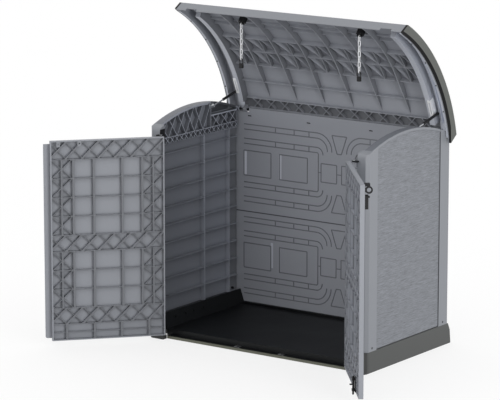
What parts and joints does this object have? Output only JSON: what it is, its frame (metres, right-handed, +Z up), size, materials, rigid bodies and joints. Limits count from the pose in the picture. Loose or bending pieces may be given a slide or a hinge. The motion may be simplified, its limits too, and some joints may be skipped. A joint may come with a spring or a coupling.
{
  "type": "garden storage box",
  "caption": "Grey resin garden storage box with ribbed walls, a pair of front doors and a curved lid held open by gas struts, with two chains under the lid.",
  "frame": {"origin": "middle of the base's underside, on the ground", "axes": "+X to the right seen from the front, -Y towards the doors, +Z up"},
  "size_m": [2.0266, 1.3271, 1.7754],
  "materials": {
    "grey_resin": "brushed wood-grain resin",
    "skirt_resin": "satin resin",
    "black_resin": "satin black resin",
    "olive_resin": "satin resin",
    "black_hardware": "black coat",
    "zinc_steel": "zinc plated",
    "rod_chrome": "polished rod"
  },
  "bodies": {
    "box": {"floor_panel": "black_resin", "front_sill": "olive_resin", "floor_keepers": "zinc_steel", "base_rail_left": "skirt_resin", "base_rail_right": "skirt_resin", "base_rail_rear": "skirt_resin", "left_wall": "grey_resin", "right_wall": "grey_resin", "wall_screws": "zinc_steel", "back_panel_lower": "grey_resin", "back_panel_upper": "grey_resin", "hinge_bracket_left": "black_hardware", "hinge_bracket_right": "black_hardware", "door_pins_left": "zinc_steel", "door_pins_right": "zinc_steel", "lid_pin_left": "zinc_steel", "lid_pin_right": "zinc_steel", "strut_mount_left": "zinc_steel", "strut_mount_right": "zinc_steel"},
    "lid": {"lid_shell": "grey_resin", "lid_trim_left": "grey_resin", "lid_trim_right": "grey_resin", "trim_screws": "zinc_steel", "strut_bracket_left": "zinc_steel", "strut_bracket_right": "zinc_steel", "chain_mount_left": "black_hardware", "chain_mount_right": "black_hardware"},
    "door_left": {"left_door": "grey_resin", "strike_plates": "zinc_steel"},
    "door_right": {"right_door": "grey_resin", "handle_plate": "black_hardware", "hasp_ring": "black_hardware", "bolt_housing": "black_hardware"},
    "lever": {"handle_lever": "black_hardware"},
    "bolt": {"slide_bolt": "black_hardware"},
    "rod_left": {"strut_rod_left": "rod_chrome"},
    "cylinder_left": {"strut_cylinder_left": "black_hardware"},
    "hanging_left": {"chain_left": "zinc_steel", "chain_clip_left": "black_hardware"},
    "rod_right": {"strut_rod_right": "rod_chrome"},
    "cylinder_right": {"strut_cylinder_right": "black_hardware"},
    "hanging_right": {"chain_right": "zinc_steel", "chain_clip_right": "black_hardware"}
  },
  "joints": [
    {"name": "left_door_swing", "type": "hinge", "parent": "box", "child": "door_left", "pos_m": [-0.612, -0.412, 0], "axis": [0, 0, 1], "range_deg": [0, 132.3]},
    {"name": "right_door_swing", "type": "hinge", "parent": "box", "child": "door_right", "pos_m": [0.612, -0.412, 0], "axis": [0, 0, -1], "range_deg": [0, 130.1]},
    {"name": "lid_lift", "type": "hinge", "parent": "box", "child": "lid", "pos_m": [0, 0.372, 1.14], "axis": [1, 0, 0], "range_deg": [0, 52.5]},
    {"name": "handle_turn", "type": "hinge", "parent": "door_right", "child": "lever", "pos_m": [0.93724, -0.81532, 1.029], "axis": [0.7649, 0.6441, 0], "range_deg": [0, 90]},
    {"name": "bolt_slide", "type": "slide", "parent": "door_right", "child": "bolt", "axis": [0, 0, 1], "range_m": [-0.013, 0.018]},
    {"name": "strut_turn_left", "type": "hinge", "parent": "box", "child": "rod_left", "pos_m": [-0.645, 0.106, 1.193], "axis": [-1, 0, 0], "range_deg": [0, 19.82]},
    {"name": "strut_stroke_left", "type": "slide", "parent": "rod_left", "child": "cylinder_left", "axis": [0, -0.9718, -0.2359], "range_m": [0, 0.07691]},
    {"name": "chain_swing_left", "type": "hinge", "parent": "lid", "child": "hanging_left", "pos_m": [-0.376, -0.00907, 1.67848], "axis": [-1, 0, 0], "range_deg": [0, 52.5]},
    {"name": "strut_turn_right", "type": "hinge", "parent": "box", "child": "rod_right", "pos_m": [0.645, 0.106, 1.193], "axis": [-1, 0, 0], "range_deg": [0, 19.82]},
    {"name": "strut_stroke_right", "type": "slide", "parent": "rod_right", "child": "cylinder_right", "axis": [0, -0.9718, -0.2359], "range_m": [0, 0.07691]},
    {"name": "chain_swing_right", "type": "hinge", "parent": "lid", "child": "hanging_right", "pos_m": [0.376, -0.00907, 1.67848], "axis": [-1, 0, 0], "range_deg": [0, 52.5]}
  ],
  "couplings": [
    {"joint": "strut_turn_left", "follows": "lid_lift", "ratio": 0.37758},
    {"joint": "strut_stroke_left", "follows": "lid_lift", "m_per_rad": 0.083939},
    {"joint": "chain_swing_left", "follows": "lid_lift", "ratio": 1},
    {"joint": "strut_turn_right", "follows": "lid_lift", "ratio": 0.37758},
    {"joint": "strut_stroke_right", "follows": "lid_lift", "m_per_rad": 0.083939},
    {"joint": "chain_swing_right", "follows": "lid_lift", "ratio": 1}
  ]
}
